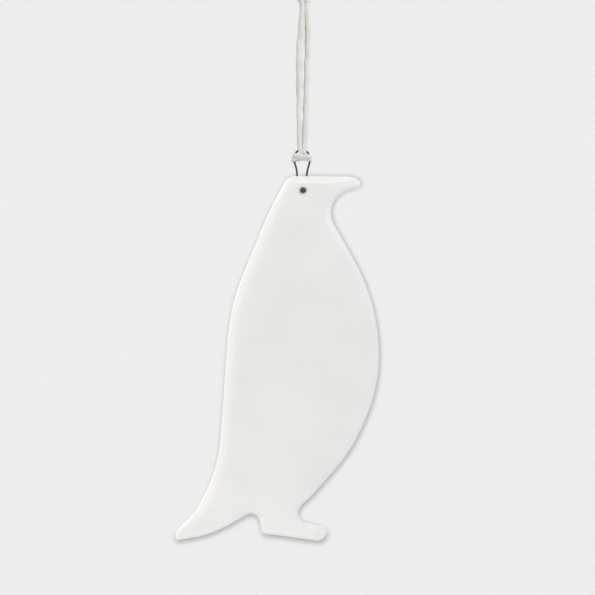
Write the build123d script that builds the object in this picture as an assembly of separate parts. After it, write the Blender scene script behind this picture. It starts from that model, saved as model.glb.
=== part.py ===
"""Flat porcelain penguin ornament on a fired-in wire eye and a doubled cotton tape.

Millimetres. The part hangs: the origin is the hanging point, between the two strands of tape
just under the top knot. +Z is up, the glazed front faces -Y and the beak points to +X.
"""
import os
from math import acos, atan2, cos, radians, sin, tan

from build123d import *

# Porcelain slab. The outline runs straight from corner to corner, and each corner is (x, z, radius of its
# rounding): x from the middle of the wire eye, z from the top of the head. All three are scaled together
# so that the lowest corner lies FIGURE_HEIGHT under the top.
FIGURE_HEIGHT = 110.5
SLAB_THICKNESS = 6.0
FRONT_EDGE_ROLL = 1.2
BACK_EDGE_ROLL = 0.8
OUTLINE_CORNERS = {
    "crown": (-4.4, 0.0, 3.5),
    "beak tip": (24.9, -0.45, 1.6),
    "throat": (5.1, -7.2, 7.1),
    "breast": (22.85, -38.8, 58.0),
    "belly": (22.85, -63.6, 44.0),
    "thigh": (14.9, -82.7, 50.0),
    "ankle": (-3.3, -103.15, 2.3),
    "toe top": (6.7, -105.75, 2.3),
    "toe sole": (6.7, -110.5, 2.3),
    "heel": (-12.2, -107.8, 1.8),
    "crotch": (-13.9, -100.45, 2.3),
    "tail underside": (-28.2, -108.65, 33.0),
    "tail tip": (-41.7, -110.3, 1.6),
    "tail top": (-33.1, -102.3, 15.0),
    "tail root": (-25.65, -89.2, 43.0),
    "back": (-21.95, -39.1, 62.0),
    "nape": (-10.05, -10.3, 40.0),
}

# Eye: a dot of black underglaze colour let into the front face.
EYE_DIAMETER = 1.9
EYE_DEPTH = 0.4
EYE_PLACE = (0.2, -4.5)

# Wire eye: a round loop on two legs that are fired into the head, where they lean towards each other.
WIRE_DIAMETER = 0.6
LOOP_RADIUS = 2.4
LOOP_RISE = 5.3
LEG_GAP_AT_HEAD = 2.94
LEG_KINK_RISE = 2.0
LEG_KINK_GAP = 3.44
LEG_DEPTH = 7.0
LEG_BEND_RADIUS = 1.2

# Cotton tape, and the hitch that holds it on the wire. Rises are measured from the middle of the loop.
TAPE_WIDTH = 2.0
TAPE_THICKNESS = 0.5
STRAND_WIDTH = 1.8
HITCH_CLEARANCE = 0.12
RISER_WIDTH = 1.2
RISER_SPACING = 0.1
RISER_BEND_RADIUS = 0.5
RISER_BACK_RISE = -0.6
RISER_FRONT_RISE = 1.5
NECK_RISE = 3.6

# Hanging length, from the hanging point down to the middle of the wire loop.
HANG_LENGTH = 46.5

# Top knot and the two cut ends of the tape, which lie one in front of the other there.
KNOT_X = 0.4
KNOT_BOTTOM = 0.5
KNOT_HEIGHT = 4.4
KNOT_CORE_DIAMETER = 2.4
KNOT_TURN_DIAMETER = 4.2
KNOT_TURN_WIDTH = 1.6
KNOT_TURN_BEVEL = 0.4
KNOT_TURN_RISES = (1.5, 2.9)
KNOT_TURN_TILTS = (18.0, -22.0)
LAYER_GAP = 0.26
STRAND_OFFSET_AT_KNOT = 0.7
TAIL_STRAIGHT = 2.5
TAIL_END_SPREAD = 2.6
TAIL_END_RISE = 10.0

# Share of the shorter run that each arc of a tape's route takes up.
ARC_SHARE = 0.45

outline_scale = FIGURE_HEIGHT / -min(z for _, z, _ in OUTLINE_CORNERS.values())
loop_z = -HANG_LENGTH
head_z = loop_z - LOOP_RISE
neck_z = loop_z + NECK_RISE
wire_to_tape = WIRE_DIAMETER / 2 + HITCH_CLEARANCE + TAPE_THICKNESS / 2
strand_x = (STRAND_WIDTH + RISER_SPACING) / 2
layer_y = (TAPE_THICKNESS + LAYER_GAP) / 2

# Routes of the two hanging strands, (x, y, z), from the hitch up to the knot.
LEFT_ROUTE = [
    (-strand_x, -wire_to_tape, neck_z),
    (-strand_x, -wire_to_tape, -38.5),
    (-1.10, -0.62, -25.0),
    (-0.80, -0.50, -9.0),
    (KNOT_X - STRAND_OFFSET_AT_KNOT, -layer_y, -3.0),
    (KNOT_X - STRAND_OFFSET_AT_KNOT, -layer_y, KNOT_BOTTOM),
]
RIGHT_ROUTE = [
    (strand_x, -wire_to_tape, neck_z),
    (strand_x, -wire_to_tape, -38.5),
    (1.15, -0.30, -25.0),
    (1.60, 0.10, -9.0),
    (KNOT_X + STRAND_OFFSET_AT_KNOT, layer_y, -3.0),
    (KNOT_X + STRAND_OFFSET_AT_KNOT, layer_y, KNOT_BOTTOM),
]


def porcelain_outline():
    """The penguin's outline, flat, with every corner rounded to its own radius."""
    corners = [(outline_scale * x, outline_scale * z) for x, z, _ in OUTLINE_CORNERS.values()]
    radii = [outline_scale * radius for _, _, radius in OUTLINE_CORNERS.values()]
    return make_face(FilletPolyline(*corners, radius=radii, close=True))


def porcelain_slab():
    """The cut slab, with its front edge rolled over and its back edge softened."""
    back_plane = Plane((0, SLAB_THICKNESS / 2, head_z), x_dir=(1, 0, 0), z_dir=(0, -1, 0))
    slab = extrude(back_plane * porcelain_outline(), SLAB_THICKNESS)
    front_edges = slab.faces().sort_by(Axis.Y)[0].edges()
    slab = fillet(front_edges, FRONT_EDGE_ROLL)
    back_edges = slab.faces().sort_by(Axis.Y)[-1].edges()
    return fillet(back_edges, BACK_EDGE_ROLL)


def wire_loop():
    """One length of wire: leg, kink, round loop, and the same again."""
    middle = Vector(0, 0, loop_z)
    kink = Vector(LEG_KINK_GAP / 2, 0, head_z + LEG_KINK_RISE)
    leg_lean = (LEG_KINK_GAP - LEG_GAP_AT_HEAD) / 2 / LEG_KINK_RISE
    foot = Vector(LEG_GAP_AT_HEAD / 2 - leg_lean * LEG_DEPTH, 0, head_z - LEG_DEPTH)
    to_kink = kink - middle
    touch_angle = atan2(to_kink.Z, to_kink.X) + acos(LOOP_RADIUS / to_kink.length)
    touch = middle + Vector(LOOP_RADIUS * cos(touch_angle), 0, LOOP_RADIUS * sin(touch_angle))
    crown = middle + Vector(0, 0, LOOP_RADIUS)
    right_leg = FilletPolyline(foot, kink, touch, radius=LEG_BEND_RADIUS)
    left_leg = mirror(right_leg, Plane.YZ)
    loop = ThreePointArc(touch, crown, Vector(-touch.X, 0, touch.Z))
    path = Wire(right_leg.edges() + loop.edges() + left_leg.edges())
    section = Plane(foot, z_dir=kink - foot) * Circle(WIRE_DIAMETER / 2)
    return sweep(section, path)


def eye_disc():
    """The black dot, flush with the front face."""
    eye_x, eye_z = EYE_PLACE
    eye_middle = (outline_scale * eye_x, -SLAB_THICKNESS / 2, head_z + outline_scale * eye_z)
    eye_plane = Plane(eye_middle, x_dir=(1, 0, 0), z_dir=(0, 1, 0))
    return extrude(eye_plane * Circle(EYE_DIAMETER / 2), EYE_DEPTH)


def tape_hitch():
    """The tape's bight as a belt round both sides of the loop, with two risers that come up through it."""
    inner = 2 * (WIRE_DIAMETER / 2 + HITCH_CLEARANCE)
    outer = inner + 2 * TAPE_THICKNESS
    belt = SlotCenterToCenter(2 * LOOP_RADIUS, outer) - SlotCenterToCenter(2 * LOOP_RADIUS, inner)
    belt -= Pos(0, outer / 2) * Rectangle(RISER_SPACING, outer)
    hitch = extrude(Plane((0, 0, loop_z)) * belt, TAPE_WIDTH / 2, both=True)
    riser_route = FilletPolyline(
        (wire_to_tape, -TAPE_WIDTH / 2),
        (wire_to_tape, RISER_BACK_RISE),
        (-wire_to_tape, RISER_FRONT_RISE),
        (-wire_to_tape, NECK_RISE),
        radius=RISER_BEND_RADIUS,
    )
    side_view = Plane((0, 0, loop_z), x_dir=(0, 1, 0), z_dir=(1, 0, 0))
    riser = extrude(side_view * trace(riser_route, TAPE_THICKNESS), RISER_WIDTH / 2, both=True)
    riser_x = (RISER_SPACING + RISER_WIDTH) / 2
    for side in (-1, 1):
        hitch += Pos(side * riser_x, 0, 0) * riser
    return hitch


def tape_strand(name, route):
    """One flat strand of tape: straight runs joined by the largest arcs that they allow, cut square."""
    radii = []
    for before, corner, after in zip(route, route[1:], route[2:]):
        run_in = Vector(*corner) - Vector(*before)
        run_out = Vector(*after) - Vector(*corner)
        half_turn = radians(run_in.get_angle(run_out)) / 2
        radii.append(ARC_SHARE * min(run_in.length, run_out.length) / tan(half_turn))
    path = FilletPolyline(*route, radius=radii)
    section = Plane(route[0], x_dir=(1, 0, 0), z_dir=(0, 0, 1)) * SlotOverall(STRAND_WIDTH, TAPE_THICKNESS)
    strand = sweep(section, path)
    volume_ratio = strand.volume / (section.area * path.length)
    print(name, "arc radii", [round(radius, 1) for radius in radii], "volume to section x length", volume_ratio)
    return strand


def top_knot():
    """The overhand knot: the pair of strands as a core, with two crossing turns of tape round it."""
    core_align = (Align.CENTER, Align.CENTER, Align.MIN)
    knot = Pos(KNOT_X, 0, KNOT_BOTTOM) * Cylinder(KNOT_CORE_DIAMETER / 2, KNOT_HEIGHT, align=core_align)
    turn = Cylinder(KNOT_TURN_DIAMETER / 2, KNOT_TURN_WIDTH)
    turn = chamfer(turn.edges().filter_by(GeomType.CIRCLE), KNOT_TURN_BEVEL)
    for rise, tilt in zip(KNOT_TURN_RISES, KNOT_TURN_TILTS):
        knot += Pos(KNOT_X, 0, KNOT_BOTTOM + rise) * Rot(0, tilt, 0) * turn
    return knot


def tape_tails():
    """The two cut ends of the tape, standing out of the top of the knot and spreading apart."""
    start_z = KNOT_BOTTOM + KNOT_HEIGHT
    tails = []
    for side in (-1, 1):
        route = [
            (KNOT_X, side * layer_y, start_z),
            (KNOT_X, side * layer_y, start_z + TAIL_STRAIGHT),
            (KNOT_X + side * TAIL_END_SPREAD, side * layer_y, start_z + TAIL_END_RISE),
        ]
        tails.append(tape_strand("tail", route))
    return Compound(children=tails)


wire = wire_loop()
eye = eye_disc()
parts = {
    "porcelain_body": porcelain_slab() - wire - eye,
    "eye_spot": eye,
    "wire_eye": wire,
    "cord_hitch": tape_hitch(),
    "cord_left_leg": tape_strand("left strand", LEFT_ROUTE),
    "cord_right_leg": tape_strand("right strand", RIGHT_ROUTE),
    "cord_top_knot": top_knot(),
    "cord_tails": tape_tails(),
}

os.makedirs("parts", exist_ok=True)
for node, shape in parts.items():
    export_step(shape, f"parts/{node}.step")
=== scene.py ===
from math import cos, pi, sin

import bmesh
import bpy
import numpy as np
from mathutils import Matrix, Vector
from mathutils.bvhtree import BVHTree
from mathutils.geometry import delaunay_2d_cdt
from mathutils.kdtree import KDTree


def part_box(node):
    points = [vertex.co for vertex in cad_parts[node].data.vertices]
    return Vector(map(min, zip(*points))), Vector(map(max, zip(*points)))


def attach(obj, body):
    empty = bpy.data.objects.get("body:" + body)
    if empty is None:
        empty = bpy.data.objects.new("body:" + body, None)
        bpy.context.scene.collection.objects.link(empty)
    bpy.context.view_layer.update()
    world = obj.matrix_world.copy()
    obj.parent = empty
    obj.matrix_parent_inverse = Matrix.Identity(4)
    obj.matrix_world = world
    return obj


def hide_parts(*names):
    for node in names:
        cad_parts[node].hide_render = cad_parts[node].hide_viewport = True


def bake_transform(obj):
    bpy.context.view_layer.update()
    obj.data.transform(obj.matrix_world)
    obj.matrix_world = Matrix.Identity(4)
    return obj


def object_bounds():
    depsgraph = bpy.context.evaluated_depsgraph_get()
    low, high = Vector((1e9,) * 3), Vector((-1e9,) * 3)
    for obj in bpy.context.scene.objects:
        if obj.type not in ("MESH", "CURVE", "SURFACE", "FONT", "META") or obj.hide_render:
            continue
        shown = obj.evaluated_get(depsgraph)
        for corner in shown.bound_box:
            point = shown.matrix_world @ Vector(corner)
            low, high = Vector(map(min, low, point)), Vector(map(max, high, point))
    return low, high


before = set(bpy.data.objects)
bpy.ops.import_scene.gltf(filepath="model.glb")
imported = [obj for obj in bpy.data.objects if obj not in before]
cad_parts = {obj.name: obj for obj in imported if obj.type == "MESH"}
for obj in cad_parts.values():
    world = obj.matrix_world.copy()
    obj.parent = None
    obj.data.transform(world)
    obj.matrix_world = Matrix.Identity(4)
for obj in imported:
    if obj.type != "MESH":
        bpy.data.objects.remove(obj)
cad_low, cad_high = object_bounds()


# Porcelain slab: white porcelain clay rolled flat and cut round a template. Its front edge is sponged into a
# soft roll, broad along the back and finer round the head, beak, belly and foot, and dipped in clear glaze.
# The back lay on the kiln shelf, so it is flat and stays bare.
SLAB_THICKNESS = 0.006
SLAB_SECTION_DEPTH = 0.001
FRONT_ROLL_WIDTH = 0.0046
FRONT_ROLL_DEPTH = 0.0018
FACE_CROWN = 0.0007
FACE_CROWN_WIDTH = 0.011
# Each place where the roll is finer: its middle, how far that holds, where it has faded, share of the width.
FINER_ROLLS = {
    "head": ((0.006, -0.053), 0.013, 0.022, 0.54),
    "beak": ((0.017, -0.0545), 0.007, 0.013, 0.36),
    "belly": ((0.075, -0.110), 0.070, 0.086, 0.32),
    "foot": ((-0.002, -0.159), 0.010, 0.016, 0.38),
}
BACK_ROLL_WIDTH = 0.0009
BACK_ROLL_DEPTH = 0.0008
HAND_RIPPLE = 0.00008
RIPPLE_SIZE = 0.014
EDGE_STEP = 0.00045
FACE_STEP = 0.0005
ROLL_RINGS = (0.00006, 0.00018, 0.00036, 0.0006, 0.0009)
RING_SLACK = 0.97
ROW_RISE = 0.866
FIELD_GAP = 0.6
WELD_DISTANCE = 1e-6
SNAP_DISTANCE = 1e-9
MERGE_DISTANCE = 1e-7
FACET_EASING = 3.2
EASING_PASSES = 40
EASING_REACH = 4
LEAST_TURN = 0.01
MOST_EASING = 0.25
BLUR_PASSES = 30
BLUR_SPAN = (0.25, 0.7)
# Each place that the sponge drew aside: its middle, the pull and the span.
SPONGED_PLACES = {
    "top of beak": ((0.0166, -0.0524), (-0.00020, -0.00040), 0.0014),
    "tip of beak": ((0.0169, -0.0550), (0.00014, -0.00016), 0.0017),
    "ankle": ((-0.0004, -0.1508), (-0.00040, 0.00010), 0.0026),
    "toe": ((0.0066, -0.1584), (0.00050, 0.00000), 0.0022),
    "heel": ((-0.0112, -0.1596), (-0.00045, -0.00012), 0.0022),
    "crotch": ((-0.0155, -0.1533), (-0.00040, -0.00020), 0.0028),
    "top of tail tip": ((-0.0383, -0.1595), (0.00020, 0.00000), 0.0012),
    "sole of tail tip": ((-0.0376, -0.1613), (-0.00035, -0.00035), 0.0010),
}


def slab_outline(node, depth, step):
    """The slab's outline where the plane y = depth cuts it: evenly spaced (x, z) points, anticlockwise."""
    section = bmesh.new()
    section.from_mesh(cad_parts[node].data)
    bmesh.ops.remove_doubles(section, verts=section.verts, dist=WELD_DISTANCE)
    whole = section.verts[:] + section.edges[:] + section.faces[:]
    bmesh.ops.bisect_plane(
        section, geom=whole, plane_co=(0, depth, 0), plane_no=(0, 1, 0), clear_inner=True, clear_outer=True)
    bmesh.ops.remove_doubles(section, verts=section.verts, dist=WELD_DISTANCE)
    section.verts.ensure_lookup_table()
    here = section.verts[0]
    came_by = None
    walk = []
    while True:
        walk.append((here.co.x, here.co.z))
        came_by = next(edge for edge in here.link_edges if edge != came_by)
        here = came_by.other_vert(here)
        if here == section.verts[0]:
            break
    section.free()
    corners = np.array(walk + walk[:1])
    doubled_area = np.sum(corners[:-1, 0] * corners[1:, 1] - corners[1:, 0] * corners[:-1, 1])
    if doubled_area < 0:
        corners = corners[::-1]
    along = np.concatenate([[0], np.cumsum(np.linalg.norm(np.diff(corners, axis=0), axis=1))])
    count = round(along[-1] / step)
    at = np.arange(count) * along[-1] / count
    even = np.column_stack([np.interp(at, along, corners[:, 0]), np.interp(at, along, corners[:, 1])])
    return sponged(eased(even, step), SPONGED_PLACES.values())


def eased(outline, step):
    """Takes the facets out of an outline's curves. A wider curve has longer facets, so it eases more."""
    ahead = np.roll(outline, -1, axis=0) - outline
    heading = np.arctan2(ahead[:, 1], ahead[:, 0])
    turn = (heading - np.roll(heading, 1) + pi) % (2 * pi) - pi
    nearby = range(-EASING_REACH, EASING_REACH + 1)
    turned = np.abs(sum(np.roll(turn, shift) for shift in nearby))
    radius = len(nearby) * step / np.maximum(turned, LEAST_TURN)
    rate = np.minimum(MOST_EASING, FACET_EASING * radius)[:, None]
    for _ in range(EASING_PASSES):
        outline = outline + rate * (np.roll(outline, 1, axis=0) + np.roll(outline, -1, axis=0) - 2 * outline)
    return outline


def sponged(outline, places):
    """Draws an outline aside near chosen places, as a wet sponge does to raw clay."""
    for place, pull, span in places:
        off = np.linalg.norm(outline - np.array(place), axis=1) / span
        outline = outline + np.exp(-off ** 2)[:, None] * np.array(pull)
    return outline


def slab_blank(outline):
    """The flat cut sheet: triangles on the outline, on rings along its edge and on an even field inside."""
    tree = KDTree(len(outline))
    for index, (x, z) in enumerate(outline):
        tree.insert((x, z, 0), index)
    tree.balance()
    ahead = np.roll(outline, -1, axis=0) - np.roll(outline, 1, axis=0)
    inward = np.column_stack([-ahead[:, 1], ahead[:, 0]])
    inward /= np.linalg.norm(inward, axis=1)[:, None]
    points = [Vector(point) for point in outline]
    for distance in ROLL_RINGS:
        for x, z in outline + distance * inward:
            if tree.find((x, z, 0))[2] > RING_SLACK * distance:
                points.append(Vector((x, z)))
    low = outline.min(axis=0)
    high = outline.max(axis=0)
    row_step = FACE_STEP * ROW_RISE
    inside = BVHTree.FromPolygons([(x, z, 0) for x, z in outline], [range(len(outline))])
    for row, z in enumerate(np.arange(low[1], high[1], row_step)):
        for x in np.arange(low[0] + (row % 2) * FACE_STEP / 2, high[0], FACE_STEP):
            clear = tree.find((x, z, 0))[2] > ROLL_RINGS[-1] + FIELD_GAP * FACE_STEP
            if clear and inside.ray_cast((x, z, 1), (0, 0, -1))[0] is not None:
                points.append(Vector((x, z)))
    rim = [(index, (index + 1) % len(outline)) for index in range(len(outline))]
    corners, _, triangles, *_ = delaunay_2d_cdt(points, rim, [], 1, SNAP_DISTANCE)
    blank = bpy.data.meshes.new("porcelain_penguin")
    blank.from_pydata([(corner.x, 0, corner.y) for corner in corners], [], triangles)
    return blank


def add_node(tree, kind, *inputs, **options):
    """Adds a node, sets its options, and fills its inputs in their order with values or links."""
    added = tree.nodes.new(kind)
    for option, value in options.items():
        setattr(added, option, value)
    shown = [socket for socket in added.inputs if socket.enabled]
    for socket, value in zip(shown, inputs):
        if isinstance(value, bpy.types.NodeSocket):
            tree.links.new(value, socket)
        elif value is not None:
            socket.default_value = value
    return added


def maths(tree, operation, *inputs, clamp=False):
    """Adds a Math node and returns its result."""
    return add_node(tree, "ShaderNodeMath", *inputs, operation=operation, use_clamp=clamp).outputs[0]


def noise(tree, place, scale, detail, roughness):
    """Adds a Noise Texture and returns its value."""
    return add_node(tree, "ShaderNodeTexNoise", place, scale, detail, roughness).outputs[0]


def mapped(tree, value, source, target):
    """Adds a Map Range node from one (low, high) range to another and returns its result."""
    return add_node(tree, "ShaderNodeMapRange", value, *source, *target).outputs[0]


def bumped(tree, height, strength, distance):
    """Adds a Bump node and returns its normal."""
    return add_node(tree, "ShaderNodeBump", strength, distance, None, height).outputs[0]


def tinted(tree, amount, low, high, span=(0.0, 1.0)):
    """Adds a Color Ramp from a low to a high colour over a span of an amount and returns its colour."""
    ramp = add_node(tree, "ShaderNodeValToRGB", amount)
    for stop, position, colour in zip(ramp.color_ramp.elements, span, (low, high)):
        stop.position = position
        stop.color = (*colour, 1)
    return ramp.outputs[0]


def forming_tree(name, sizes):
    """A Geometry Nodes tree with one named input for each size."""
    tree = bpy.data.node_groups.new(name, "GeometryNodeTree")
    tree.interface.new_socket("Geometry", in_out="INPUT", socket_type="NodeSocketGeometry")
    tree.interface.new_socket("Geometry", in_out="OUTPUT", socket_type="NodeSocketGeometry")
    for size in sizes:
        tree.interface.new_socket(size, in_out="INPUT", socket_type="NodeSocketFloat")
    return tree, tree.nodes.new("NodeGroupInput").outputs, tree.nodes.new("NodeGroupOutput").inputs


def form(piece, tree, sizes):
    """Runs a forming tree on a piece and leaves the result as its plain mesh."""
    modifier = piece.modifiers.new(tree.name, "NODES")
    modifier.node_group = tree
    for item in tree.interface.items_tree:
        if item.in_out == "INPUT" and item.name in sizes:
            modifier[item.identifier] = sizes[item.name]
    formed = piece.evaluated_get(bpy.context.evaluated_depsgraph_get())
    mesh = bpy.data.meshes.new_from_object(formed)
    piece.modifiers.clear()
    mesh.name = piece.data.name
    piece.data = mesh


def show(piece_name, mesh):
    """A new object at the origin that shows a mesh."""
    piece = bpy.data.objects.new(piece_name, mesh)
    bpy.context.scene.collection.objects.link(piece)
    return piece


def finish_named(name):
    """A new material with its node tree, its shader and the coordinates of the object it is on."""
    made = bpy.data.materials.new(name)
    made.use_nodes = True
    tree = made.node_tree
    place = tree.nodes.new("ShaderNodeTexCoord").outputs
    return made, tree, tree.nodes["Principled BSDF"], place


def clear_glaze():
    """Clear gloss glaze over white porcelain, with faint clouds where it lies thicker."""
    made, tree, shader, place = finish_named("clear_glaze")
    clouds = noise(tree, place["Object"], scale=70.0, detail=2.0, roughness=0.5)
    specks = noise(tree, place["Object"], scale=900.0, detail=2.0, roughness=0.5)
    tint = tinted(tree, clouds, low=(0.738, 0.750, 0.740), high=(0.765, 0.765, 0.757), span=(0.35, 0.65))
    tree.links.new(tint, shader.inputs["Base Color"])
    gloss = mapped(tree, specks, source=(0.3, 0.7), target=(0.06, 0.10))
    tree.links.new(gloss, shader.inputs["Roughness"])
    thicker = bumped(tree, clouds, strength=0.06, distance=0.0004)
    tree.links.new(thicker, shader.inputs["Normal"])
    shader.inputs["IOR"].default_value = 1.52
    shader.inputs["Subsurface Weight"].default_value = 0.12
    shader.inputs["Subsurface Radius"].default_value = (1.0, 0.92, 0.85)
    shader.inputs["Subsurface Scale"].default_value = 0.0012
    return made


def bare_porcelain():
    """Unglazed porcelain: a matt, slightly warm, finely grained face."""
    made, tree, shader, place = finish_named("bare_porcelain")
    grain = noise(tree, place["Object"], scale=2600.0, detail=3.0, roughness=0.6)
    clouds = noise(tree, place["Object"], scale=55.0, detail=2.0, roughness=0.5)
    tint = tinted(tree, clouds, low=(0.70, 0.69, 0.655), high=(0.765, 0.755, 0.725))
    tree.links.new(tint, shader.inputs["Base Color"])
    rough = bumped(tree, grain, strength=0.25, distance=0.00006)
    tree.links.new(rough, shader.inputs["Normal"])
    shader.inputs["Roughness"].default_value = 0.72
    return made


def rolled(tree, distance, width, depth):
    """How far a quarter-round roll of that width and depth has risen at a distance from the edge."""
    short_of_top = maths(tree, "SUBTRACT", 1.0, maths(tree, "DIVIDE", distance, width, clamp=True))
    fallen = maths(tree, "MULTIPLY", short_of_top, short_of_top)
    return maths(tree, "MULTIPLY", depth, maths(tree, "SQRT", maths(tree, "SUBTRACT", 1.0, fallen)))


def raised(tree, sheet, height):
    """Moves a sheet along y by a height."""
    offset = add_node(tree, "ShaderNodeCombineXYZ", 0.0, height, 0.0).outputs[0]
    return add_node(tree, "GeometryNodeSetPosition", sheet, True, None, offset).outputs[0]


def slab_tree(glaze, bare):
    """Rolls both edges of a flat blank, crowns its face, walls it round and gives it its two finishes."""
    tree, given, result = forming_tree("rolled_slab", SLAB_SIZES)
    blank = given["Geometry"]
    faces_beside = add_node(tree, "GeometryNodeInputMeshEdgeNeighbors").outputs[0]
    on_rim = add_node(
        tree, "FunctionNodeCompare", faces_beside, 1, data_type="INT", operation="EQUAL").outputs[0]
    rim = add_node(tree, "GeometryNodeSeparateGeometry", blank, on_rim, domain="EDGE").outputs[0]
    to_rim = add_node(tree, "GeometryNodeProximity", rim, target_element="EDGES").outputs["Distance"]
    position = add_node(tree, "GeometryNodeInputPosition").outputs[0]
    finest = 1.0
    for (x, z), near, far, share in FINER_ROLLS.values():
        away = add_node(tree, "ShaderNodeVectorMath", position, (x, 0, z), operation="DISTANCE")
        finer = mapped(tree, away.outputs["Value"], source=(near, far), target=(share, 1.0))
        finest = maths(tree, "MINIMUM", finest, finer)
    roll_width = maths(tree, "MULTIPLY", given["Roll width"], finest)
    hold = maths(tree, "DIVIDE", to_rim, roll_width, clamp=True)
    on_top = mapped(tree, hold, source=BLUR_SPAN, target=(0.0, 1.0))
    soft = add_node(
        tree, "GeometryNodeBlurAttribute", to_rim, BLUR_PASSES, on_top, data_type="FLOAT").outputs[0]
    half = maths(tree, "MULTIPLY", given["Thickness"], 0.5)

    front_edge = maths(tree, "ADD", given["Roll depth"], given["Crown"])
    front_edge = maths(tree, "SUBTRACT", front_edge, half)
    front_rise = rolled(tree, soft, roll_width, given["Roll depth"])
    crown_rise = rolled(tree, soft, given["Crown width"], given["Crown"])
    ripple_scale = maths(tree, "DIVIDE", 1.0, given["Ripple size"])
    ripple = noise(tree, position, ripple_scale, detail=1.0, roughness=0.5)
    ripple_here = maths(tree, "MULTIPLY", maths(tree, "MULTIPLY", ripple, given["Ripple"]), hold)
    front_y = maths(tree, "SUBTRACT", front_edge, maths(tree, "ADD", front_rise, crown_rise))
    front = raised(tree, blank, maths(tree, "ADD", front_y, ripple_here))

    back_edge = maths(tree, "SUBTRACT", half, given["Back roll depth"])
    back_rise = rolled(tree, to_rim, given["Back roll width"], given["Back roll depth"])
    back = raised(tree, blank, maths(tree, "ADD", back_edge, back_rise))
    back = add_node(tree, "GeometryNodeFlipFaces", back).outputs[0]
    past_roll = maths(tree, "GREATER_THAN", to_rim, given["Back roll width"])
    back = add_node(
        tree, "GeometryNodeStoreNamedAttribute", back, True, "bare_back", past_roll,
        data_type="BOOLEAN", domain="FACE").outputs[0]

    depth = add_node(tree, "ShaderNodeCombineXYZ", 0.0, maths(tree, "SUBTRACT", back_edge, front_edge), 0.0)
    wall = add_node(
        tree, "GeometryNodeExtrudeMesh", raised(tree, rim, front_edge), True, depth.outputs[0], 1.0,
        mode="EDGES").outputs[0]
    slab = add_node(tree, "GeometryNodeJoinGeometry")
    for sheet in (front, wall, back):
        tree.links.new(sheet, slab.inputs[0])
    slab = add_node(tree, "GeometryNodeMergeByDistance", slab.outputs[0], True, MERGE_DISTANCE).outputs[0]
    slab = add_node(tree, "GeometryNodeSetShadeSmooth", slab).outputs[0]
    slab = add_node(tree, "GeometryNodeRealizeInstances", slab).outputs[0]
    slab = add_node(tree, "GeometryNodeSetMaterial", slab, True, glaze).outputs[0]
    is_bare = add_node(tree, "GeometryNodeInputNamedAttribute", "bare_back", data_type="BOOLEAN").outputs[0]
    slab = add_node(tree, "GeometryNodeSetMaterial", slab, is_bare, bare).outputs[0]
    tree.links.new(slab, result["Geometry"])
    return tree


def turn_faces_out(mesh):
    """Points every face of a closed mesh outwards."""
    whole = bmesh.new()
    whole.from_mesh(mesh)
    bmesh.ops.recalc_face_normals(whole, faces=whole.faces)
    whole.to_mesh(mesh)
    whole.free()


SLAB_SIZES = {
    "Thickness": SLAB_THICKNESS,
    "Roll width": FRONT_ROLL_WIDTH,
    "Roll depth": FRONT_ROLL_DEPTH,
    "Crown": FACE_CROWN,
    "Crown width": FACE_CROWN_WIDTH,
    "Ripple": HAND_RIPPLE,
    "Ripple size": RIPPLE_SIZE,
    "Back roll width": BACK_ROLL_WIDTH,
    "Back roll depth": BACK_ROLL_DEPTH,
}
penguin = show("porcelain_penguin", slab_blank(slab_outline("porcelain_body", SLAB_SECTION_DEPTH, EDGE_STEP)))
form(penguin, slab_tree(clear_glaze(), bare_porcelain()), SLAB_SIZES)
turn_faces_out(penguin.data)
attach(penguin, "penguin")
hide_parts("porcelain_body")


# Eye: a dot of black underglaze colour, set down with a round brush before glazing. It bled a little into
# the raw clay, so its rim is soft, and the glaze runs on over it.
EYE_SOFT_RIM = 0.00024
EYE_SEGMENTS = 56
EYE_SINK = 0.0003
EYE_PROUD = 0.00002
EYE_DRIFT = Vector((-0.00022, 0, 0.00008))
EYE_SPREAD = 1.05
# How the brush left the dot uneven: size, number round the dot and start of each wave.
EYE_WOBBLES = ((0.03, 2, 0.7), (0.02, 3, 2.0))
LOOK_FROM = 0.01


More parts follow.
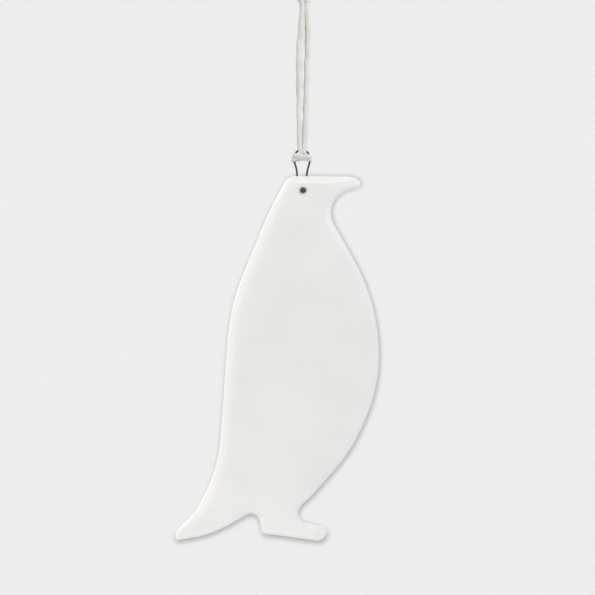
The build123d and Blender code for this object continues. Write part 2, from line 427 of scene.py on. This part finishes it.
def underglaze_dot():
    """A thin lens that follows the glazed face, with the amount of ink stored on its points."""
    low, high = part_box("eye_spot")
    middle = (low + high) / 2 + EYE_DRIFT
    radius = EYE_SPREAD * (high.x - low.x) / 2
    surface = BVHTree.FromObject(penguin, bpy.context.evaluated_depsgraph_get())
    rings = [
        (0.35, 1.0), (0.65, 1.0), (1 - EYE_SOFT_RIM / radius, 1.0),
        (1.0, 0.55), (1 + EYE_SOFT_RIM / radius, 0.12), (1 + 2 * EYE_SOFT_RIM / radius, 0.0),
    ]

    def face_at(x, z):
        return surface.ray_cast(Vector((x, cad_low.y - LOOK_FROM, z)), Vector((0, 1, 0)))[0].y

    dot = bmesh.new()
    ink = dot.verts.layers.float.new("ink")
    loops = []
    for share, amount in rings:
        loop = []
        for step in range(EYE_SEGMENTS):
            turn = 2 * pi * step / EYE_SEGMENTS
            wobble = sum(size * sin(number * turn + start) for size, number, start in EYE_WOBBLES)
            reach = radius * share * (1 + wobble)
            x = middle.x + reach * cos(turn)
            z = middle.z + reach * sin(turn)
            corner = dot.verts.new((x, face_at(x, z) - EYE_PROUD * min(1.0, 2 * amount), z))
            corner[ink] = amount
            loop.append(corner)
        loops.append(loop)
    face_y = face_at(middle.x, middle.z)
    front = dot.verts.new((middle.x, face_y - EYE_PROUD, middle.z))
    front[ink] = 1.0
    back = dot.verts.new((middle.x, face_y + EYE_SINK, middle.z))
    for step in range(EYE_SEGMENTS):
        after = (step + 1) % EYE_SEGMENTS
        dot.faces.new((front, loops[0][step], loops[0][after]))
        dot.faces.new((back, loops[-1][after], loops[-1][step]))
        for inner, outer in zip(loops, loops[1:]):
            dot.faces.new((inner[step], outer[step], outer[after], inner[after]))
    mesh = bpy.data.meshes.new("eye_dot")
    for face in dot.faces:
        face.smooth = True
    dot.to_mesh(mesh)
    dot.free()
    turn_faces_out(mesh)
    return mesh


def black_underglaze():
    """Black colour under clear glaze that thins to bare porcelain at the rim."""
    made, tree, shader, place = finish_named("black_underglaze")
    ink = add_node(tree, "ShaderNodeAttribute", attribute_name="ink").outputs["Fac"]
    clouds = noise(tree, place["Object"], scale=2500.0, detail=2.0, roughness=0.5)
    depth = mapped(tree, clouds, source=(0.3, 0.7), target=(0.94, 1.0))
    cover = maths(tree, "MULTIPLY", ink, depth)
    tint = tinted(tree, cover, low=(0.753, 0.755, 0.738), high=(0.018, 0.018, 0.020))
    tree.links.new(tint, shader.inputs["Base Color"])
    shader.inputs["Roughness"].default_value = 0.14
    shader.inputs["IOR"].default_value = 1.52
    return made


eye = show("eye_dot", underglaze_dot())
eye.data.materials.append(black_underglaze())
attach(eye, "penguin")
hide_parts("eye_spot")


# Wire eye: one length of heat-proof wire bent into a ring on two legs, which were pressed into the raw clay.
# The kiln has left it dull and dark, with a thin scale of oxide. It was bent by hand, so it leans a little.
WIRE_DIAMETER = 0.0006
WIRE_STEP = 0.00015
WIRE_SIDES = 20
SPLINE_RESOLUTION = 24
WIRE_BENDS = [
    (-0.00150, -0.0562), (-0.00172, -0.0530), (-0.00184, -0.0508), (-0.00198, -0.0497), (-0.00246, -0.0482),
    (-0.00272, -0.0467), (-0.00245, -0.0450), (-0.00120, -0.0440), (-0.00010, -0.0438), (0.00055, -0.0440),
    (0.00172, -0.0450), (0.00214, -0.0467), (0.00190, -0.0482), (0.00140, -0.0497), (0.00118, -0.0508),
    (0.00098, -0.0530), (0.00077, -0.0562),
]


def smooth_line(points, step):
    """The smooth line that a route makes: points read from its spline, then spaced evenly."""
    curve = bpy.data.curves.new("smooth_line", "CURVE")
    curve.dimensions = "3D"
    curve.resolution_u = SPLINE_RESOLUTION
    spline = curve.splines.new("NURBS")
    spline.points.add(len(points) - 1)
    for corner, point in zip(spline.points, points):
        corner.co = (*point, 1)
    spline.order_u = 3
    spline.use_endpoint_u = True
    holder = bpy.data.objects.new("smooth_line", curve)
    mesh = bpy.data.meshes.new_from_object(holder)
    line = np.array([corner.co[:] for corner in mesh.vertices])
    bpy.data.objects.remove(holder)
    bpy.data.curves.remove(curve)
    bpy.data.meshes.remove(mesh)
    along = np.concatenate([[0], np.cumsum(np.linalg.norm(np.diff(line, axis=0), axis=1))])
    at = np.linspace(0, along[-1], round(along[-1] / step) + 1)
    return np.column_stack([np.interp(at, along, line[:, axis]) for axis in range(3)]), at


def bent_wire(way):
    """A mesh of bare edges along the wire's way."""
    line, _ = smooth_line([(x, 0, z) for x, z in way], WIRE_STEP)
    mesh = bpy.data.meshes.new("bent_wire")
    mesh.from_pydata(line.tolist(), [(index, index + 1) for index in range(len(line) - 1)], [])
    return mesh


def wire_tree(finish):
    """Gives a line of edges a round section with closed ends, and its finish."""
    tree, given, result = forming_tree("drawn_wire", WIRE_SIZES)
    way = add_node(tree, "GeometryNodeMeshToCurve", given["Geometry"]).outputs[0]
    section = add_node(
        tree, "GeometryNodeCurvePrimitiveCircle", WIRE_SIDES, maths(tree, "MULTIPLY", given["Diameter"], 0.5))
    drawn = add_node(tree, "GeometryNodeCurveToMesh", way, section.outputs[0])
    drawn.inputs["Fill Caps"].default_value = True
    drawn = add_node(tree, "GeometryNodeSetShadeSmooth", drawn.outputs[0]).outputs[0]
    drawn = add_node(tree, "GeometryNodeRealizeInstances", drawn).outputs[0]
    drawn = add_node(tree, "GeometryNodeSetMaterial", drawn, True, finish).outputs[0]
    tree.links.new(drawn, result["Geometry"])
    return tree


def fired_wire():
    """Dark oxidised wire with lighter drawn streaks and rougher scale."""
    made, tree, shader, place = finish_named("fired_wire")
    scale = noise(tree, place["Object"], scale=1500.0, detail=3.0, roughness=0.6)
    tint = tinted(tree, scale, low=(0.030, 0.028, 0.026), high=(0.110, 0.103, 0.092), span=(0.35, 0.75))
    tree.links.new(tint, shader.inputs["Base Color"])
    rough = mapped(tree, scale, source=(0.3, 0.7), target=(0.38, 0.62))
    tree.links.new(rough, shader.inputs["Roughness"])
    pits = bumped(tree, scale, strength=0.3, distance=0.00003)
    tree.links.new(pits, shader.inputs["Normal"])
    shader.inputs["Metallic"].default_value = 0.55
    return made


WIRE_SIZES = {"Diameter": WIRE_DIAMETER}
wire = show("bent_wire", bent_wire(WIRE_BENDS))
form(wire, wire_tree(fired_wire()), WIRE_SIZES)
turn_faces_out(wire.data)
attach(wire, "penguin")
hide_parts("wire_eye")


# Tape: one soft woven cotton tape. Its middle is girth-hitched on the wire ring: the bight lies across the
# front, wraps both sides of the ring, and both strands come forward through the ring and run up to the knot.
TAPE_STEP = 0.0003
TAPE_FACE_POINTS = 17
TAPE_WANDER = 0.6
SEARCH_LENGTH = 0.02
LEAST_ARCH = 0.05
SELVEDGE_THINNING = 0.97
SELVEDGE_POWER = 6
# How the tape leans and how its width swells along it: size, length and start of each wave.
TAPE_LEANS = ((0.10, 0.00105, 1), (0.08, 0.0019, 3))
TAPE_SWELLS = ((0.05, 0.0010, 1), (0.03, 0.00057, 2))
# Lengthwise creases: their places across the width, how these drift, and how deep and wide they are.
CREASE_PLACES = (-0.55, 0.0, 0.55)
CREASE_DRIFT = 0.2
DRIFT_LENGTH = 0.0032
DRIFT_STAGGER = 2.1
CREASE_DEPTH = 0.00007
DEPTH_CHANGE = 0.00004
CHANGE_LENGTH = 0.0021
CHANGE_STAGGER = 1.7
CREASE_WIDTH = 0.13
DOWN_LEFT = (0.92, -0.39, 0)
INTO_LEFT = (1, 0, 0)
TURN_LEFT = (0.7, 0, -0.7)
UPRIGHT = (0, 0, -1)
LEANED = (-0.35, 0, -0.94)
TIPPED = (0, 0.36, -0.93)
TURN_RIGHT = (-0.7, 0, -0.7)
OUT_RIGHT = (-1, 0, 0)
UP_RIGHT = (-0.92, 0.39, 0)
# Each row is a point of the route, the way the tape's width lies there, its width and thickness, and how far
# its width is arched, which is forwards on the strands and outwards on the hitch.
TAPE_ROUTE = [
    ((-0.00050, -0.00095, 0.00160), DOWN_LEFT, 0.0016, 0.00042, -1.2),
    ((-0.00040, -0.00090, 0.00040), DOWN_LEFT, 0.0016, 0.00042, -1.3),
    ((-0.00025, -0.00060, -0.00120), DOWN_LEFT, 0.0014, 0.00042, -1.35),
    ((-0.00042, -0.00055, -0.00350), DOWN_LEFT, 0.0018, 0.00040, -1.3),
    ((-0.00055, -0.00060, -0.00700), DOWN_LEFT, 0.0020, 0.00038, -1.3),
    ((-0.00098, -0.00060, -0.01100), DOWN_LEFT, 0.0020, 0.00038, -1.3),
    ((-0.00120, -0.00062, -0.01500), DOWN_LEFT, 0.0021, 0.00038, -1.3),
    ((-0.00118, -0.00062, -0.02100), DOWN_LEFT, 0.0020, 0.00038, -1.3),
    ((-0.00120, -0.00062, -0.02800), DOWN_LEFT, 0.0019, 0.00038, -1.3),
    ((-0.00110, -0.00067, -0.03500), DOWN_LEFT, 0.0018, 0.00040, -1.3),
    ((-0.00118, -0.00075, -0.03900), DOWN_LEFT, 0.0014, 0.00042, -1.3),
    ((-0.00118, -0.00080, -0.04270), DOWN_LEFT, 0.0013, 0.00042, -1.2),
    ((-0.00065, -0.00090, -0.04480), INTO_LEFT, 0.0011, 0.00050, -0.8),
    ((-0.00060, -0.00060, -0.04560), INTO_LEFT, 0.0012, 0.00050, -0.5),
    ((-0.00065, 0.00067, -0.04665), INTO_LEFT, 0.0013, 0.00050, -0.3),
    ((-0.00130, 0.00090, -0.04672), TURN_LEFT, 0.0014, 0.00060, 0.3),
    ((-0.00240, 0.00085, -0.04665), UPRIGHT, 0.0015, 0.00060, 0.8),
    ((-0.00318, 0.00010, -0.04700), LEANED, 0.0017, 0.00060, 1.0),
    ((-0.00235, -0.00095, -0.04604), TIPPED, 0.0025, 0.00050, 0.55),
    ((0.00000, -0.00092, -0.04638), TIPPED, 0.0021, 0.00045, 0.40),
    ((0.00195, -0.00090, -0.04638), TIPPED, 0.0021, 0.00045, 0.45),
    ((0.00266, 0.00000, -0.04640), UPRIGHT, 0.0019, 0.00034, 0.35),
    ((0.00215, 0.00085, -0.04650), UPRIGHT, 0.0015, 0.00050, 0.5),
    ((0.00130, 0.00090, -0.04672), TURN_RIGHT, 0.0014, 0.00060, 0.3),
    ((0.00065, 0.00067, -0.04665), OUT_RIGHT, 0.0013, 0.00050, -0.3),
    ((0.00055, -0.00060, -0.04560), OUT_RIGHT, 0.0012, 0.00050, -0.5),
    ((0.00036, -0.00088, -0.04480), OUT_RIGHT, 0.0010, 0.00050, -0.8),
    ((0.00042, -0.00075, -0.04290), UP_RIGHT, 0.0016, 0.00042, -1.1),
    ((0.00045, -0.00065, -0.03900), UP_RIGHT, 0.0019, 0.00042, -1.2),
    ((0.00075, -0.00055, -0.03500), UP_RIGHT, 0.0017, 0.00040, -1.2),
    ((0.00095, -0.00045, -0.02800), UP_RIGHT, 0.0018, 0.00038, -1.2),
    ((0.00115, -0.00030, -0.02100), UP_RIGHT, 0.0019, 0.00038, -1.2),
    ((0.00135, -0.00020, -0.01500), UP_RIGHT, 0.0019, 0.00038, -1.2),
    ((0.00140, -0.00010, -0.01100), UP_RIGHT, 0.0020, 0.00038, -1.25),
    ((0.00140, -0.00020, -0.00700), UP_RIGHT, 0.0018, 0.00040, -1.2),
    ((0.00115, -0.00050, -0.00350), UP_RIGHT, 0.0016, 0.00042, -1.1),
    ((0.00090, -0.00055, -0.00120), UP_RIGHT, 0.0014, 0.00042, -1.1),
    ((0.00120, -0.00065, 0.00040), UP_RIGHT, 0.0016, 0.00042, -1.2),
    ((0.00130, -0.00060, 0.00160), UP_RIGHT, 0.0016, 0.00042, -1.2),
]


def passing_places(line, at, points):
    """How far along a line each point of its route is passed, in order."""
    passed = [0.0]
    first = 0
    for point in points[1:-1]:
        window = slice(first, first + round(SEARCH_LENGTH / TAPE_STEP))
        first += int(np.argmin(np.linalg.norm(line[window] - np.array(point), axis=1)))
        passed.append(at[first])
    return passed + [at[-1]]


def slow_waves(at, wander, waves):
    """The sum of some slow waves along a tape."""
    return sum(size * np.sin(at / length + start * wander) for size, length, start in waves)


def tape_mesh(name, route, wander):
    """A soft flat tape along a route, with rounded selvedges, lengthwise creases and a changing width."""
    line, at = smooth_line([row[0] for row in route], TAPE_STEP)
    passed = passing_places(line, at, [row[0] for row in route])

    def along_tape(values):
        return np.interp(at, passed, values)

    across = np.column_stack([along_tape([row[1][axis] for row in route]) for axis in range(3)])
    ahead = np.gradient(line, axis=0)
    ahead /= np.linalg.norm(ahead, axis=1)[:, None]
    across -= np.sum(across * ahead, axis=1)[:, None] * ahead
    across /= np.linalg.norm(across, axis=1)[:, None]
    out = np.cross(across, ahead)
    lean = slow_waves(at, wander, TAPE_LEANS)
    across, out = (
        across * np.cos(lean)[:, None] + out * np.sin(lean)[:, None],
        out * np.cos(lean)[:, None] - across * np.sin(lean)[:, None],
    )
    swell = 1 + slow_waves(at, wander, TAPE_SWELLS)
    widths = swell * along_tape([row[2] for row in route])
    thicknesses = along_tape([row[3] for row in route])
    arches = along_tape([row[4] for row in route])
    arches = np.where(np.abs(arches) < LEAST_ARCH, LEAST_ARCH, arches)
    share = np.linspace(-1, 1, TAPE_FACE_POINTS)
    selvedge = np.sqrt(1 - SELVEDGE_THINNING * share ** SELVEDGE_POWER)
    points = []
    spots = []
    for index in range(len(at)):
        turn = arches[index] * share
        radius = widths[index] / 2 / sin(arches[index])
        bent = np.column_stack([np.sin(turn), np.cos(turn)])
        middle = radius * (bent - np.array([0, (1 + cos(arches[index])) / 2]))
        crease = np.zeros(TAPE_FACE_POINTS)
        for number, home in enumerate(CREASE_PLACES):
            place = home + CREASE_DRIFT * sin(at[index] / DRIFT_LENGTH + wander + DRIFT_STAGGER * number)
            change = sin(at[index] / CHANGE_LENGTH + CHANGE_STAGGER * number + wander)
            depth = CREASE_DEPTH + DEPTH_CHANGE * change
            crease -= depth * np.exp(-((share - place) / CREASE_WIDTH) ** 2)
        crease *= np.sign(arches[index])
        front = middle + bent * (crease + selvedge * thicknesses[index] / 2)[:, None]
        back = middle + bent * (crease - selvedge * thicknesses[index] / 2)[:, None]
        for sideways, outwards in np.concatenate([front, back[::-1]]):
            points.append(line[index] + sideways * across[index] + outwards * out[index])
        edge = share * widths[index] / 2
        spots += [(at[index], reach) for reach in np.concatenate([edge, edge[::-1]])]
    ring = 2 * TAPE_FACE_POINTS
    faces = [tuple(range(ring))[::-1], tuple(range(len(points) - ring, len(points)))]
    for start in range(0, len(points) - ring, ring):
        for step in range(ring):
            after = (step + 1) % ring
            faces.append((start + step, start + after, start + ring + after, start + ring + step))
    mesh = bpy.data.meshes.new(name)
    mesh.from_pydata(points, [], faces)
    weave = mesh.uv_layers.new(name="weave")
    for loop in mesh.loops:
        weave.data[loop.index].uv = spots[loop.vertex_index]
    for face in mesh.polygons:
        face.use_smooth = True
    turn_faces_out(mesh)
    return mesh, line


COTTON_THREAD = 0.00022
WAVE_NODE_RATE = 20
CLOTH_RELIEF = 0.6
CLOUD_SHARE = 0.8


def cotton():
    """Soft white cotton: a fine plain weave with fibres, a faint sheen of fuzz, and painted shade in the
    weave's hollows.
    """
    made, tree, shader, place = finish_named("cotton")

    def threads(direction, distortion=0.4, detail=2.0, detail_scale=60.0):
        scale = 2 * pi / (WAVE_NODE_RATE * COTTON_THREAD)
        return add_node(
            tree, "ShaderNodeTexWave", place["UV"], scale, distortion, detail, detail_scale,
            bands_direction=direction).outputs[1]

    cloth = maths(tree, "MAXIMUM", threads("X"), threads("Y"))
    fibres = noise(tree, place["Object"], scale=2200.0, detail=4.0, roughness=0.65)
    height = maths(tree, "ADD", maths(tree, "MULTIPLY", cloth, CLOTH_RELIEF), fibres)
    soft = bumped(tree, height, strength=0.5, distance=0.00005)
    tree.links.new(soft, shader.inputs["Normal"])
    # Colour: mostly random clouds of tone; the rest follows the weave's relief, so the hollows between threads
    # are painted darker as shade.
    clouds = noise(tree, place["Object"], scale=260.0, detail=3.0, roughness=0.55)
    cloudy = maths(tree, "MULTIPLY", clouds, CLOUD_SHARE)
    tone_and_weave_shade = maths(tree, "ADD", cloudy, maths(tree, "MULTIPLY", height, 1 - CLOUD_SHARE))
    tint = tinted(tree, tone_and_weave_shade, low=(0.54, 0.547, 0.52), high=(0.66, 0.66, 0.64), span=(0.3, 0.75))
    tree.links.new(tint, shader.inputs["Base Color"])
    shader.inputs["Roughness"].default_value = 0.92
    shader.inputs["Sheen Weight"].default_value = 0.15
    shader.inputs["Sheen Roughness"].default_value = 0.6
    return made


tape_mesh_made, tape_line = tape_mesh("cotton_tape", TAPE_ROUTE, TAPE_WANDER)
tape = show("cotton_tape", tape_mesh_made)
cotton_finish = cotton()
tape.data.materials.append(cotton_finish)
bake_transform(tape)
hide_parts("cord_left_leg", "cord_right_leg", "cord_hitch")


# Top knot: both strands tied together in one overhand knot, up through its core, round it once and up under
# that turn. Above it stand the two cut ends.
KNOT_MIDDLE = Vector((0.0004, 0.0, 0.0027))
KNOT_STRAND_WIDTH = 0.00125
KNOT_STRAND_THICKNESS = 0.00055
KNOT_STRAND_SPACING = 0.00052
KNOT_ARCH = -0.9
KNOT_WANDER = 1.9
# Each row is a point from the knot's middle on the way through it, and the way in which the two strands lie
# side by side there.
KNOT_WAY = [
    ((0.00010, 0.00000, -0.00240), (1, 0, 0)),
    ((0.00010, 0.00010, -0.00120), (1, 0, 0)),
    ((0.00020, 0.00030, 0.00000), (1, 0, 0)),
    ((0.00050, 0.00045, 0.00105), (0.9, 0.4, -0.1)),
    ((0.00125, 0.00025, 0.00165), (0.42, 0.87, -0.25)),
    ((0.00180, -0.00060, 0.00120), (0.31, 0.44, -0.84)),
    ((0.00090, -0.00160, 0.00065), (0.47, 0.05, -0.88)),
    ((-0.00080, -0.00160, -0.00020), (0.44, -0.05, -0.90)),
    ((-0.00185, -0.00050, -0.00080), (0.14, -0.23, -0.93)),
    ((-0.00175, 0.00080, -0.00095), (0, 0, -1)),
    ((-0.00030, 0.00165, -0.00090), (0, 0, -1)),
    ((0.00140, 0.00110, -0.00095), (0, 0, -1)),
    ((0.00190, -0.00030, -0.00110), (-0.1, 0, -1)),
    ((0.00100, -0.00125, -0.00115), (-0.34, 0.11, -0.88)),
    ((0.00000, -0.00105, -0.00050), (-0.82, 0, -0.52)),
    ((-0.00020, -0.00075, 0.00060), (-0.97, 0, -0.05)),
    ((-0.00010, -0.00040, 0.00160), (-1, 0, 0)),
    ((0.00000, -0.00020, 0.00240), (-1, 0, 0)),
]
CUT_END_RISE = 0.0121
CUT_END_SPREAD = 0.0024
CUT_END_WIDTH = 0.0020
CUT_END_THICKNESS = 0.0004
CUT_END_ARCH = -0.5
CUT_END_OFFSET = 0.0003
CUT_END_TURN = 0.2
# Shares of the cut ends' rise, spread and width, on the way up.
CUT_END_ROWS = ((0.35, 0.25, 0.8), (0.65, 0.6, 1.0), (1.0, 1.0, 1.0))


def tied_end(side):
    """The route of one strand through the knot and out above it, on one side of the pair."""
    route = []
    for place, beside in KNOT_WAY:
        shift = side * KNOT_STRAND_SPACING * Vector(beside).normalized()
        point = tuple(KNOT_MIDDLE + Vector(place) + shift)
        route.append((point, beside, KNOT_STRAND_WIDTH, KNOT_STRAND_THICKNESS, KNOT_ARCH))
    for rise, spread, width in CUT_END_ROWS:
        place = Vector((-side * spread * CUT_END_SPREAD, CUT_END_OFFSET * side, rise * CUT_END_RISE))
        beside = (-1, CUT_END_TURN * side, 0)
        point = tuple(KNOT_MIDDLE + place)
        route.append((point, beside, width * CUT_END_WIDTH, CUT_END_THICKNESS, CUT_END_ARCH))
    return route


tied_ends = []
for side, hand, node in ((-1, "right", "cord_top_knot"), (1, "left", "cord_tails")):
    tied_mesh, _ = tape_mesh(f"tied_end_{hand}", tied_end(side), KNOT_WANDER + side)
    tied = show(tied_mesh.name, tied_mesh)
    tied.data.materials.append(cotton_finish)
    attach(tied, "knot")
    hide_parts(node)
    tied_ends.append(tied)


# Stage: the ornament hangs in front of a pale wall above a pale floor. The wall is seen through from behind.
WALL_Y = 0.14
WALL_HALF_WIDTH = 0.45
FLOOR_Z = -0.21
WALL_TOP = 0.35
FLOOR_REACH = 1.2
WALL_COLOUR = (0.537, 0.537, 0.537, 1)
FLOOR_COLOUR = (0.80, 0.80, 0.80, 1)
AIR_LIGHT_COLOUR = (0.76, 0.76, 0.76, 1)
AIR_SEEN_COLOUR = (0.85, 0.85, 0.85, 1)


def pale_stage(name, colour, clear_behind):
    """A plain matt pale finish, clear from behind where it would hide the object."""
    made, tree, shader, _ = finish_named(name)
    shader.inputs["Base Color"].default_value = colour
    shader.inputs["Roughness"].default_value = 1.0
    shader.inputs["Specular IOR Level"].default_value = 0.0
    if clear_behind:
        behind = add_node(tree, "ShaderNodeNewGeometry").outputs["Backfacing"]
        clear = add_node(tree, "ShaderNodeBsdfTransparent").outputs[0]
        seen = add_node(tree, "ShaderNodeMixShader", behind, shader.outputs[0], clear).outputs[0]
        tree.links.new(seen, tree.nodes["Material Output"].inputs["Surface"])
    return made


def stage_sheet(name, corners, finish):
    """A flat sheet that isn't part of the ornament."""
    mesh = bpy.data.meshes.new(name)
    mesh.from_pydata(corners, [], [tuple(range(len(corners)))])
    sheet = show(name, mesh)
    sheet.data.materials.append(finish)
    return sheet


wall = stage_sheet("pale_wall", [
    (-WALL_HALF_WIDTH, WALL_Y, FLOOR_Z), (WALL_HALF_WIDTH, WALL_Y, FLOOR_Z),
    (WALL_HALF_WIDTH, WALL_Y, WALL_TOP), (-WALL_HALF_WIDTH, WALL_Y, WALL_TOP),
], pale_stage("pale_wall", WALL_COLOUR, clear_behind=True))
floor = stage_sheet("pale_floor", [
    (-FLOOR_REACH, -FLOOR_REACH, FLOOR_Z), (FLOOR_REACH, -FLOOR_REACH, FLOOR_Z),
    (FLOOR_REACH, FLOOR_REACH, FLOOR_Z), (-FLOOR_REACH, FLOOR_REACH, FLOOR_Z),
], pale_stage("pale_floor", FLOOR_COLOUR, clear_behind=False))

world = bpy.data.worlds.new("studio_air")
world.use_nodes = True
air = world.node_tree
lit_by = air.nodes["Background"]
lit_by.inputs["Color"].default_value = AIR_LIGHT_COLOUR
seen = add_node(air, "ShaderNodeBackground", AIR_SEEN_COLOUR, 1.0)
looks_at = add_node(air, "ShaderNodeLightPath").outputs["Is Camera Ray"]
either = add_node(air, "ShaderNodeMixShader", looks_at, lit_by.outputs[0], seen.outputs[0])
air.links.new(either.outputs[0], air.nodes["World Output"].inputs["Surface"])
bpy.context.scene.world = world
bpy.context.scene.view_settings.view_transform = "Standard"

# Camera: square on to the front, far off with a long lens, framed as the photograph is.
FRAME_WIDTH = 0.1793
CAMERA_DISTANCE = 2.0
CAMERA_REACH = 20.0
SENSOR_WIDTH = 36.0
FRAME_MIDDLE = (-0.00168, -0.08852)
camera = bpy.data.objects.new("camera", bpy.data.cameras.new("camera"))
camera.data.sensor_width = SENSOR_WIDTH
camera.data.lens = SENSOR_WIDTH * CAMERA_DISTANCE / FRAME_WIDTH
camera.data.clip_end = CAMERA_REACH
camera.location = (FRAME_MIDDLE[0], cad_low.y - CAMERA_DISTANCE, FRAME_MIDDLE[1])
camera.rotation_euler = (pi / 2, 0, 0)
bpy.context.scene.collection.objects.link(camera)
bpy.context.scene.camera = camera


# Lights: a small lamp beside the lens draws the close shadow round the outline, and soft boxes at both sides
# and above light the rolled edges. Small cards light the sole and the beak. The wall keeps only the even light.
LENS_LAMP_POWER = 122.0
LENS_LAMP_RADIUS = 0.0173
LENS_LAMP_OFFSET = Vector((-0.0034, 0.22, 0.0039))
BODY_MIDDLE = (-0.003, 0.0, -0.107)
# Each soft box: its place, what it is aimed at, its width and height, its power and its colour.
SOFT_BOXES = {
    "left_box": ((-0.80, -0.15, 0.06), BODY_MIDDLE, (1.4, 1.6), 5.5, (1.0, 0.91, 0.855)),
    "top_box": ((-0.08, -0.12, 0.68), BODY_MIDDLE, (1.4, 1.1), 2.6, (1.0, 0.96, 0.91)),
    "right_box": ((0.81, -0.32, -0.22), BODY_MIDDLE, (1.0, 1.4), 2.3, (0.96, 0.98, 1.0)),
    "low_card": ((-0.02, -0.03, -0.206), (-0.01, 0, -0.155), (0.05, 0.05), 0.006, (1.0, 0.99, 0.97)),
    "beak_card": ((0.034, -0.014, -0.060), (0.016, 0, -0.056), (0.012, 0.012), 0.0005, (0.94, 0.98, 1.0)),
    "cool_strip": ((0.60, -1.25, 0.0), BODY_MIDDLE, (0.14, 0.9), 0.3, (0.90, 0.97, 1.0)),
    "tape_key": ((0.55, -0.75, 0.62), (0, 0, -0.02), (0.4, 0.4), 7.4, (1.0, 1.0, 0.98)),
    "back_box": ((-0.45, 0.95, 0.35), BODY_MIDDLE, (1.0, 1.0), 2.5, (1.0, 0.99, 0.97)),
    "cool_shelf": ((0.10, -1.05, 0.52), BODY_MIDDLE, (0.5, 0.3), 1.2, (0.93, 0.97, 1.0)),
}


def soft_box(name, place, aim, size, power, colour):
    """An area light at a place, turned towards a point."""
    light = bpy.data.lights.new(name, "AREA")
    light.shape = "RECTANGLE"
    light.size, light.size_y = size
    light.energy = power
    light.color = colour
    lamp = bpy.data.objects.new(name, light)
    lamp.location = place
    lamp.rotation_euler = (Vector(aim) - Vector(place)).to_track_quat("-Z", "Y").to_euler()
    lamp.visible_camera = False
    bpy.context.scene.collection.objects.link(lamp)
    return lamp


lens_lamp = bpy.data.objects.new("lens_lamp", bpy.data.lights.new("lens_lamp", "POINT"))
lens_lamp.data.energy = LENS_LAMP_POWER
lens_lamp.data.shadow_soft_size = LENS_LAMP_RADIUS
lens_lamp.location = camera.location + LENS_LAMP_OFFSET
lens_lamp.visible_camera = False
lens_lamp.visible_glossy = False
bpy.context.scene.collection.objects.link(lens_lamp)
lamps = {name: soft_box(name, *setting) for name, setting in SOFT_BOXES.items()}


def group(name, state, *pieces):
    """A set of pieces that a light is kept to, or kept off."""
    chosen = bpy.data.collections.new(name)
    for piece in pieces:
        chosen.objects.link(piece)
    for entry in chosen.collection_objects:
        entry.light_linking.link_state = state
    return chosen


lens_lamp.light_linking.receiver_collection = group("wall_only", "INCLUDE", wall)
lens_lamp.light_linking.blocker_collection = group("slab_only", "INCLUDE", penguin)
lamps["tape_key"].light_linking.receiver_collection = group("tape_and_wire", "INCLUDE", tape, *tied_ends, wire)
for name in ("left_box", "right_box", "low_card", "beak_card", "cool_strip", "cool_shelf"):
    lamps[name].light_linking.receiver_collection = group(
        f"not_by_{name}", "EXCLUDE", wall, floor, tape, *tied_ends)
lamps["top_box"].light_linking.receiver_collection = group("not_by_top_box", "EXCLUDE", wall)
lamps["back_box"].light_linking.receiver_collection = group("not_by_back_box", "EXCLUDE", wall, floor)
for name in ("left_box", "right_box", "low_card"):
    lamps[name].light_linking.blocker_collection = group(f"{name}_past_the_floor", "EXCLUDE", floor)
lamps["back_box"].light_linking.blocker_collection = group("past_the_wall", "EXCLUDE", wall)
